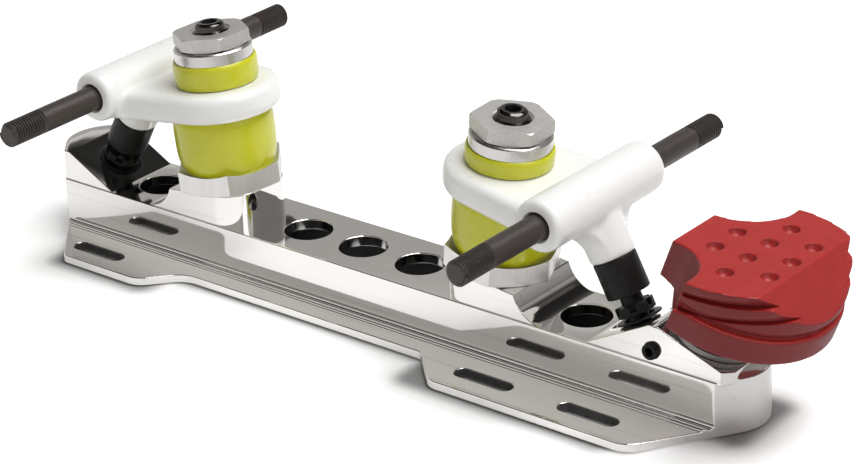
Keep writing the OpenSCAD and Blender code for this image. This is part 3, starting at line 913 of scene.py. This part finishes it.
class SKATE_OT_cushions(bpy.types.Operator):
    """Turn the lower and upper cushions"""

    bl_idname = "skate.cushions"
    bl_label = "Cushions"

    def execute(self, context):
        sizes = context.scene.skate_sizes
        where = kingpin_frame(sizes)
        for end in ENDS:
            stack = Stack(sizes, end)
            for part, obj, fixed, moving in (
                ("lower_cushion", self.lower(stack), stack.seat, stack.lower_top),
                ("upper_cushion", self.upper(stack), stack.retainer, stack.upper_low),
            ):
                start = where @ Vector((0, 0, fixed * MM))
                stop = where @ Vector((0, 0, moving * MM))
                settle(obj, where)
                if end == "rear":
                    start.x = -start.x
                    stop.x = -stop.x
                    to_rear(obj)
                smooth(obj, 50)
                dress(obj, f"{end}_{part}", kept(lime_urethane))
                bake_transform(obj)
        return {"FINISHED"}

    def lower(self, stack):
        """The tall cushion, seated in the dish of the base nut, with a neck into the ring."""
        low = stack.seat + 0.05
        high = stack.lower_top
        neck_top = stack.ring_low + NECK_HEIGHT
        side = barrel(radius=16.45, low=low, high=high, low_in=1.7, high_in=1.0)
        neck = [(NECK_FOOT_R, high), (NECK_R, neck_top), (CUSHION_HOLE_R, neck_top)]
        return turned("lower", [(CUSHION_HOLE_R, low)] + side + neck, closed=True)

    def upper(self, stack):
        """The short cushion, whose lip stands a little proud round the retainer."""
        low = stack.upper_low
        high = stack.retainer
        neck_low = stack.ring_high - NECK_HEIGHT
        neck = [(CUSHION_HOLE_R, neck_low), (NECK_R, neck_low), (NECK_FOOT_R, low)]
        side = barrel(radius=13.7, low=low, high=high - 0.3, low_in=0.5, high_in=0.2)
        lip = [(13.35, high + 0.15), (13.1, high + 0.3), (12.9, high + 0.2), (12.85, high - 0.1)]
        return turned("upper", neck + side + lip + [(CUSHION_HOLE_R, high - 0.1)], closed=True)


class SKATE_OT_hangers(bpy.types.Operator):
    """Cast the hangers: ring, web, hub and pivot leg flowed into one skin"""

    bl_idname = "skate.hangers"
    bl_label = "Hangers"

    def execute(self, context):
        sizes = context.scene.skate_sizes
        obj = self.casting(sizes)
        self.bore(obj, sizes)
        for end, piece in zip(ENDS, (obj, rear_twin(obj))):
            smooth(piece, 40)
            dress(piece, f"{end}_hanger", kept(white_enamel), f"{end}_truck")
        return {"FINISHED"}

    def casting(self, sizes):
        """The solid casting, joined and softened like a poured one."""
        radius = sizes.hub_width / 2 / MM
        half = sizes.hub_length / 2 / MM
        edge = 2.0
        profile = rounded([(0, -half), (radius, -half, edge), (radius, half, edge), (0, half)])
        hub = turned("hub", profile, axle_frame(sizes))
        ring = self.band(kingpin_frame(sizes), Stack(sizes, "front"))
        for other in (hub, self.leg(pivot_frame(sizes))):
            combine(ring, other, "UNION")
        apply(ring, "REMESH", mode="VOXEL", voxel_size=sizes.casting_voxel, adaptivity=0)
        apply(ring, "SMOOTH", factor=0.5, iterations=14)
        return ring

    def band(self, kingpin, stack):
        """The ring and its two arms as one rounded band, square to the kingpin."""
        ring_r = 19.75
        arm_turn = 7
        arm_end = 31
        edge = 3.0
        arc = [math.radians(angle) for angle in range(90 + arm_turn, 271 - arm_turn, 6)]
        outline = [(ring_r * math.cos(a), ring_r * math.sin(a)) for a in arc]
        arm_half = outline[0][1] + (arm_end - outline[0][0]) * math.tan(math.radians(arm_turn))
        outline += [(arm_end, -arm_half), (arm_end, arm_half)]
        obj = prism("band", outline, stack.ring_low, stack.ring_high, kingpin)
        apply(
            obj, "BEVEL", limit_method="ANGLE", angle_limit=math.radians(60), width=edge * MM, segments=6,
            use_clamp_overlap=False,
        )
        return obj

    def leg(self, pivot):
        """The pivot leg: a round column, with a thinner web on both sides that flares along the hub."""
        top = 38
        column_r = 7.2
        web_half = 6.4
        web_thick = 8.4
        flare_at = 31.4
        flare_half = 16.5
        flare_r = 9.5
        column = [(0, SLEEVE_TOP), (column_r, SLEEVE_TOP, 0.8), (column_r, top), (0, top)]
        obj = turned("leg", rounded(column), pivot)
        right = [(web_half, SLEEVE_TOP + 0.6), (web_half, flare_at, flare_r)]
        right += [(flare_half, flare_at), (flare_half, top)]
        left = [(-point[0], *point[1:]) for point in reversed(right)]
        on_edge = Matrix(((0, 0, 1, 0), (1, 0, 0, 0), (0, 1, 0, 0), (0, 0, 0, 1)))
        outline = rounded(right + left, steps=10)
        web = prism("web", outline, -web_thick / 2, web_thick / 2, pivot @ on_edge)
        combine(obj, web, "UNION")
        return obj

    def bore(self, obj, sizes):
        """Cuts the stepped hole in the ring, the hole for the pivot pin and the hole for the axle."""
        ring_r = 10.5
        cup_r = 15.2
        cup_floor = 34.3
        pin_r = 4.1
        axle_r = sizes.axle_width / 2 / MM + 0.42
        mouth_r = axle_r + 0.5
        half = sizes.hub_length / 2 / MM
        ring = [(0, 20), (ring_r, 20), (ring_r, cup_floor), (cup_r, cup_floor), (cup_r, 46), (0, 46)]
        pin = [(0, 18), (pin_r, 18), (pin_r, 30.6), (0, 30.6)]
        axle = [(0, -half - 2), (mouth_r, -half - 2), (mouth_r, -half), (axle_r, -half + 0.6)]
        axle += [(radius, -height) for radius, height in reversed(axle)]
        for name, profile, where in (
            ("ring_bore", ring, kingpin_frame(sizes)),
            ("pin_bore", pin, pivot_frame(sizes)),
            ("axle_bore", axle, axle_frame(sizes)),
        ):
            combine(obj, turned(name, profile, where), "DIFFERENCE")


class SKATE_OT_axles(bpy.types.Operator):
    """Turn the axles and cut the threads on their ends"""

    bl_idname = "skate.axles"
    bl_label = "Axles"

    def execute(self, context):
        sizes = context.scene.skate_sizes
        radius = sizes.axle_width / 2 / MM
        half = sizes.axle_length / 2 / MM
        root = radius - 0.6
        thread_from = half - 14
        shoulder = 26.5
        near = [(radius + 0.3, shoulder), (radius, shoulder + 0.4), (radius, thread_from)]
        near += [(root, thread_from + 0.7), (root, half - 0.5), (root - 0.5, half), (0, half)]
        far = [(r, -height) for r, height in reversed(near)]
        obj = turned("axle", far + near, steps=72)
        ridges = [
            thread(
                "axle_thread", root=root - 0.1, crest=radius - 0.02, pitch=sizes.axle_pitch / MM,
                low=thread_from + 0.3, high=half + 0.6, where=Matrix.Rotation(turn, 4, "X"),
            )
            for turn in (0, math.pi)
        ]
        join(obj, *ridges)
        settle(obj, axle_frame(sizes))
        for end, piece in zip(ENDS, (obj, rear_twin(obj))):
            smooth(piece, 30)
            dress(piece, f"{end}_axle", kept(blackened_steel), f"{end}_truck")
        return {"FINISHED"}


class SKATE_OT_pivots(bpy.types.Operator):
    """Model the pivot sleeves, pins and cups"""

    bl_idname = "skate.pivots"
    bl_label = "Pivots"

    def execute(self, context):
        where = pivot_frame(context.scene.skate_sizes)
        pin_edge = 0.22
        sleeve = self.sleeve(where)
        cup = self.cup(where)
        pin = softened("front_pivot_pin", pin_edge * MM)
        for part, obj, slot, body in (
            ("pivot_sleeve", sleeve, "black_steel", "{}_truck"),
            ("pivot_pin", pin, "black_steel", "{}_truck"),
            ("pivot_cup", cup, "black_nylon", "plate_body"),
        ):
            for end in ENDS:
                piece = rear_twin(obj) if end == "rear" else obj
                smooth(piece)
                dress(piece, f"{end}_{part}", kept(black_nylon), body.format(end))
        return {"FINISHED"}

    def sleeve(self, where):
        """The cylinder under the hanger leg."""
        low = 7.9
        inner_r = 4.05
        outer_r = 6.8
        profile = [(inner_r, low), (outer_r, low, 0.45), (outer_r, SLEEVE_TOP, 0.3), (inner_r, SLEEVE_TOP)]
        return turned("sleeve", rounded(profile), where, closed=True)

    def cup(self, where):
        """The socket in the seat, with a low rim round the pin."""
        floor = -8.0
        rim = 0.3
        inner_r = 4.8
        outer_r = 7
        profile = [(inner_r, floor), (outer_r, floor), (outer_r, rim, 0.1), (5.2, rim, 0.1), (inner_r, 0)]
        return turned("cup", rounded(profile), where, closed=True)


class SKATE_OT_toe_stop(bpy.types.Operator):
    """Mould the rubber stop and turn its stem and jam nut"""

    bl_idname = "skate.toe_stop"
    bl_label = "Toe stop"

    def execute(self, context):
        sizes = context.scene.skate_sizes
        where = stem_frame(sizes)
        self.jam_nut(where)
        self.stem(sizes, where)
        self.rubber(sizes)
        return {"FINISHED"}

    def jam_nut(self, where):
        """The nut that locks the stem, over a washer of its own."""
        bore_r = 8.0
        washer_r = 14
        washer_low = 0.1
        washer_top = 2.1
        neck_r = 12.6
        nut_r = 13.4
        nut_low = 2.75
        profile = [(bore_r, washer_low), (washer_r, washer_low, 0.3), (washer_r, washer_top, 0.3)]
        profile += [(neck_r, washer_top), (neck_r, nut_low), (nut_r, nut_low, 0.2)]
        profile += [(nut_r, 4.4, 0.4), (bore_r, 4.5)]
        obj = turned("jam_nut", rounded(profile), where, closed=True)
        smooth(obj)
        dress(obj, "toe_stop_jam_nut", kept(dull_steel), "toe_stop_nut")

    def stem(self, sizes, where):
        """The threaded shank, with a flange that the rubber is moulded round."""
        foot = -21
        root_r = 7.15
        flange_r = 11.8
        flange_low = 16.5
        flange_top = 19.5
        profile = [(0, foot), (6.6, foot), (root_r, foot + 0.6), (root_r, flange_low)]
        profile += [(flange_r, flange_low, 0.3), (flange_r, flange_top, 0.3), (0, flange_top)]
        obj = turned("stem", rounded(profile), where)
        pitch = sizes.stem_pitch / MM
        ridge = thread("stem_thread", root=7.0, crest=7.8, pitch=pitch, low=-20, high=17, where=where)
        join(obj, ridge)
        smooth(obj, 30)
        dress(obj, "toe_stop_stem", kept(satin_steel), "toe_stop")

    def rubber(self, sizes):
        """The CAD block with its edges softened, then its grips cut."""
        obj = cad_copy("toe_stop_rubber")
        mend(obj)
        apply(obj, "REMESH", mode="VOXEL", voxel_size=sizes.rubber_voxel, adaptivity=0)
        apply(obj, "SMOOTH", factor=0.5, iterations=3)
        combine(obj, self.grips(sizes), "DIFFERENCE")
        smooth(obj, 40)
        dress(obj, "toe_stop_rubber", kept(red_rubber), "toe_stop")

    def grips(self, sizes):
        """Cutters for three rows of pits in the contact face and two grooves round the side below it."""
        contact_height = 31.8
        contact_lean = math.radians(3.7) - sizes.stem_lean
        pit_rows = ((-8.4, 2), (2.4, 4), (13.4, 3))
        pit_gap = 11.6
        pit = [(0, -2.2), (1.3, -2.0), (2.2, -1.3), (2.75, 0), (2.75, 1), (0, 1)]
        groove_depths = (4.4, 9.3)
        groove_height = 4.7
        groove_floor_r = 28.6
        groove_mouth_r = 31.8
        groove_shift = -2
        face = Matrix.Translation((0, 0, contact_height * MM)) @ Matrix.Rotation(contact_lean, 4, "Y")
        face = stem_frame(sizes) @ face
        cutters = []
        for x, count in pit_rows:
            for i in range(count):
                y = (i - (count - 1) / 2) * pit_gap
                spot = face @ Matrix.Translation((x * MM, y * MM, 0))
                cutters.append(turned("pit", pit, spot, steps=40))
        for depth in groove_depths:
            top = groove_height - depth
            groove = [(groove_floor_r, -depth), (groove_mouth_r, -depth), (groove_mouth_r, top)]
            spot = face @ Matrix.Translation((groove_shift * MM, 0, 0))
            cutters.append(turned("groove", groove, spot, steps=120, closed=True))
        join(*cutters)
        return cutters[0]


# Studio, in metres


class SKATE_OT_stage(bpy.types.Operator):
    """Lay the floor, hang the lights and aim the camera"""

    bl_idname = "skate.stage"
    bl_label = "Stage"

    def execute(self, context):
        self.floor(context)
        self.sky(context)
        self.lamp("overhead", spot=(0.45, 0.3, 1.45), size=(1.2, 1.1), power=26)
        self.lamp("toe_side", spot=(1.15, -0.12, 0.95), size=(0.9, 0.9), power=3)
        self.camera(context)
        context.scene.view_settings.view_transform = "Standard"
        return {"FINISHED"}

    def floor(self, context):
        """A pale floor that is lifted to white beside the plate, keeps the lamps' shadows, and has painted
        shadow close round and under the plate.
        """
        drop = 0.0005
        pick_nothing()
        bpy.ops.mesh.primitive_plane_add(size=8, location=(0, 0, -drop))
        obj = context.object
        obj.name = "studio_floor"
        finish = Finish("studio_floor", context.scene.skate_colours.floor)
        preset(finish.shader, Roughness=0.9, Specular_IOR_Level=0.0)
        path = add_node(finish.tree, "ShaderNodeLightPath")
        distance = self.distance_from_plate(finish)
        self.paint_floor_shade(finish, path, distance)
        self.lift(finish, path, distance)
        obj.data.materials.append(finish.material)

    def paint_floor_shade(self, finish, path, distance):
        """Paints a contact shadow on the floor close to the plate for the camera, and paints shade on the
        floor beyond the toe for polished metal to reflect.
        """
        black = (0.0, 0.0, 0.0)
        split = add_node(finish.tree, "ShaderNodeSeparateXYZ")
        finish.link(finish.coordinates, split.inputs["Vector"])
        along = split.outputs["X"]
        colour = None
        # Painted contact shadow for the camera, painted shade beyond the toe for reflections
        for ray, level in (
            ("Is Camera Ray", self.fade(finish, distance, reach=(0.002, 0.009), levels=(0.65, 0.0))),
            ("Is Glossy Ray", self.fade(finish, along, reach=(0.125, 0.165), levels=(0.0, 0.45))),
        ):
            dimmed = add_node(finish.tree, "ShaderNodeMath", operation="MULTIPLY")
            finish.link(path.outputs[ray], dimmed.inputs[0])
            finish.link(level, dimmed.inputs[1])
            colour = finish.shade(dimmed.outputs["Value"], black, over=colour)

    def lift(self, finish, path, distance):
        """Adds a glow beside the plate, in full for the camera and in part for polished metal; it fades out
        towards the plate, which leaves painted shade round and under it.
        """
        metal_share = 0.45
        tree = finish.tree
        seen = add_node(tree, "ShaderNodeMath", operation="MULTIPLY_ADD")
        seen.inputs[1].default_value = metal_share
        strength = add_node(tree, "ShaderNodeMath", operation="MULTIPLY")
        glow = add_node(tree, "ShaderNodeEmission")
        both = add_node(tree, "ShaderNodeAddShader")
        wire(
            tree,
            (path.outputs["Is Glossy Ray"], seen.inputs[0]),
            (path.outputs["Is Camera Ray"], seen.inputs[2]),
            (seen.outputs["Value"], strength.inputs[0]),
            (self.fade(finish, distance, reach=(0.0, 0.018), levels=(0.0, 0.34)), strength.inputs[1]),
            (strength.outputs["Value"], glow.inputs["Strength"]),
            (finish.shader.outputs["BSDF"], both.inputs[0]),
            (glow.outputs["Emission"], both.inputs[1]),
            (both.outputs["Shader"], tree.nodes["Material Output"].inputs["Surface"]),
        )

    def distance_from_plate(self, finish):
        """The distance of a floor spot from the foot of the plate, taken as four boxes."""
        boxes = {
            "rail": (0.019, 0.127, 0.011),
            "waist": (0.0, 0.1, 0.0205),
            "toe_flange": (0.081, 0.034, 0.0348),
            "heel_flange": (-0.083, 0.0165, 0.0338),
        }
        nearest = None
        for middle, half_length, half_width in boxes.values():
            spot = finish.coordinates
            for operation, other in (
                ("SUBTRACT", (middle, 0, 0)),
                ("ABSOLUTE", None),
                ("SUBTRACT", (half_length, half_width, 0)),
                ("MAXIMUM", (0, 0, 0)),
                ("LENGTH", None),
            ):
                step = add_node(finish.tree, "ShaderNodeVectorMath", operation=operation)
                finish.link(spot, step.inputs[0])
                if other is not None:
                    step.inputs[1].default_value = other
                spot = step.outputs["Value" if operation == "LENGTH" else "Vector"]
            if nearest is not None:
                step = add_node(finish.tree, "ShaderNodeMath", operation="MINIMUM")
                finish.link(nearest, step.inputs[0])
                finish.link(spot, step.inputs[1])
                spot = step.outputs["Value"]
            nearest = spot
        return nearest

    def fade(self, finish, distance, reach, levels):
        """A value that runs softly from one level to another as a distance grows."""
        item = add_node(finish.tree, "ShaderNodeMapRange", interpolation_type="SMOOTHSTEP")
        preset(item, From_Min=reach[0], From_Max=reach[1], To_Min=levels[0], To_Max=levels[1])
        finish.link(distance, item.inputs["Value"])
        return item.outputs["Result"]

    def sky(self, context):
        """A studio room: pale up to a bright band, dark above it, and darker to the far front corner."""
        by_height = (
            (0.0, 1.0), (0.3, 0.72), (0.42, 0.5), (0.465, 0.85),
            (0.5, 0.75), (0.58, 0.12), (0.68, 0.03), (1.0, 0.1),
        )
        by_side = ((0.0, 0.26), (0.3, 0.44), (0.46, 0.57), (0.95, 0.57))
        near_rear = (-0.7, -0.7, 0.0)
        world = bpy.data.worlds.new("studio_room")
        context.scene.world = world
        world.use_nodes = True
        tree = world.node_tree
        lit = tree.nodes["Background"]
        preset(lit, Strength=1.3)
        direction = add_node(tree, "ShaderNodeTexCoord").outputs["Generated"]
        split = add_node(tree, "ShaderNodeSeparateXYZ")
        height = self.greys(tree, by_height)
        corner = add_node(tree, "ShaderNodeVectorMath", operation="DOT_PRODUCT")
        corner.inputs[1].default_value = near_rear
        turn = add_node(tree, "ShaderNodeMapRange")
        preset(turn, From_Min=-1.0)
        side = self.greys(tree, by_side)
        room = add_node(tree, "ShaderNodeMix", data_type="RGBA", blend_type="MULTIPLY")
        preset(room, Factor=1.0)
        white = add_node(tree, "ShaderNodeBackground")
        preset(white, Color=(1, 1, 1, 1))
        path = add_node(tree, "ShaderNodeLightPath")
        mix = add_node(tree, "ShaderNodeMixShader")
        wire(
            tree,
            (direction, split.inputs["Vector"]),
            (split.outputs["Z"], height.inputs["Fac"]),
            (direction, corner.inputs[0]),
            (corner.outputs["Value"], turn.inputs["Value"]),
            (turn.outputs["Result"], side.inputs["Fac"]),
            (height.outputs["Color"], room.inputs["A"]),
            (side.outputs["Color"], room.inputs["B"]),
            (room.outputs["Result"], lit.inputs["Color"]),
            (path.outputs["Is Camera Ray"], mix.inputs["Fac"]),
            (lit.outputs["Background"], mix.inputs[1]),
            (white.outputs["Background"], mix.inputs[2]),
            (mix.outputs["Shader"], tree.nodes["World Output"].inputs["Surface"]),
        )

    def greys(self, tree, levels):
        """A soft ramp of slightly warm greys."""
        warm = (1.0, 0.985, 0.965)
        ramp = add_node(tree, "ShaderNodeValToRGB")
        ramp.color_ramp.interpolation = "EASE"
        stops = ramp.color_ramp.elements
        for index, (position, grey) in enumerate(levels):
            stop = stops[index] if index < 2 else stops.new(position)
            stop.position = position
            stop.color = (*(grey * channel for channel in warm), 1)
        return ramp

    def lamp(self, name, spot, size, power):
        """A soft rectangle of light, turned to the middle of the plate."""
        data = bpy.data.lights.new(name, "AREA")
        data.shape = "RECTANGLE"
        data.size, data.size_y = size
        data.energy = power
        obj = bpy.data.objects.new(name, data)
        bpy.context.scene.collection.objects.link(obj)
        obj.location = spot
        obj.rotation_euler = (-Vector(spot)).to_track_quat("-Z", "Y").to_euler()

    def camera(self, context):
        """The camera at the photo's viewing angle."""
        spot = (0.5371, -0.6281, 0.4002)
        azimuth = math.radians(39.124)
        elevation = math.radians(24.612)
        roll = math.radians(1.98)
        level = math.cos(elevation)
        right = Vector((math.cos(azimuth), math.sin(azimuth), 0))
        back = Vector((math.sin(azimuth) * level, -math.cos(azimuth) * level, math.sin(elevation)))
        up = back.cross(right)
        across = right * math.cos(roll) - up * math.sin(roll)
        over = right * math.sin(roll) + up * math.cos(roll)
        data = bpy.data.cameras.new("photo_camera")
        data.lens = 121.23
        data.sensor_width = 36
        data.clip_end = 20
        obj = bpy.data.objects.new("photo_camera", data)
        context.scene.collection.objects.link(obj)
        turn = Matrix((across, over, back)).transposed()
        obj.matrix_world = Matrix.Translation(spot) @ turn.to_4x4()
        context.scene.camera = obj


class SKATE_PT_panel(bpy.types.Panel):
    """Lists the sizes, colours and steps"""

    bl_idname = "SKATE_PT_panel"
    bl_label = "Skate plate"
    bl_space_type = "VIEW_3D"
    bl_region_type = "UI"
    bl_category = "Skate"

    def draw(self, context):
        for group in (context.scene.skate_sizes, context.scene.skate_colours):
            column = self.layout.column()
            for name in group.__annotations__:
                column.prop(group, name)
        for step in STEPS:
            self.layout.operator(step.bl_idname)


STEPS = (
    SKATE_OT_stage, SKATE_OT_plate, SKATE_OT_clamp_screw, SKATE_OT_kingpins, SKATE_OT_cushions,
    SKATE_OT_hangers, SKATE_OT_axles, SKATE_OT_pivots, SKATE_OT_toe_stop,
)
CLASSES = (SkateSizes, SkateColours, *STEPS, SKATE_PT_panel)


def register():
    for cls in CLASSES:
        bpy.utils.register_class(cls)
    bpy.types.Scene.skate_sizes = bpy.props.PointerProperty(type=SkateSizes)
    bpy.types.Scene.skate_colours = bpy.props.PointerProperty(type=SkateColours)


def unregister():
    del bpy.types.Scene.skate_colours
    del bpy.types.Scene.skate_sizes
    for cls in reversed(CLASSES):
        bpy.utils.unregister_class(cls)


def main():
    register()
    bpy.ops.skate.stage()
    bpy.ops.skate.plate()
    bpy.ops.skate.clamp_screw()
    bpy.ops.skate.kingpins()
    bpy.ops.skate.cushions()
    bpy.ops.skate.hangers()
    bpy.ops.skate.axles()
    bpy.ops.skate.pivots()
    bpy.ops.skate.toe_stop()


if __name__ == "__main__":
    main()
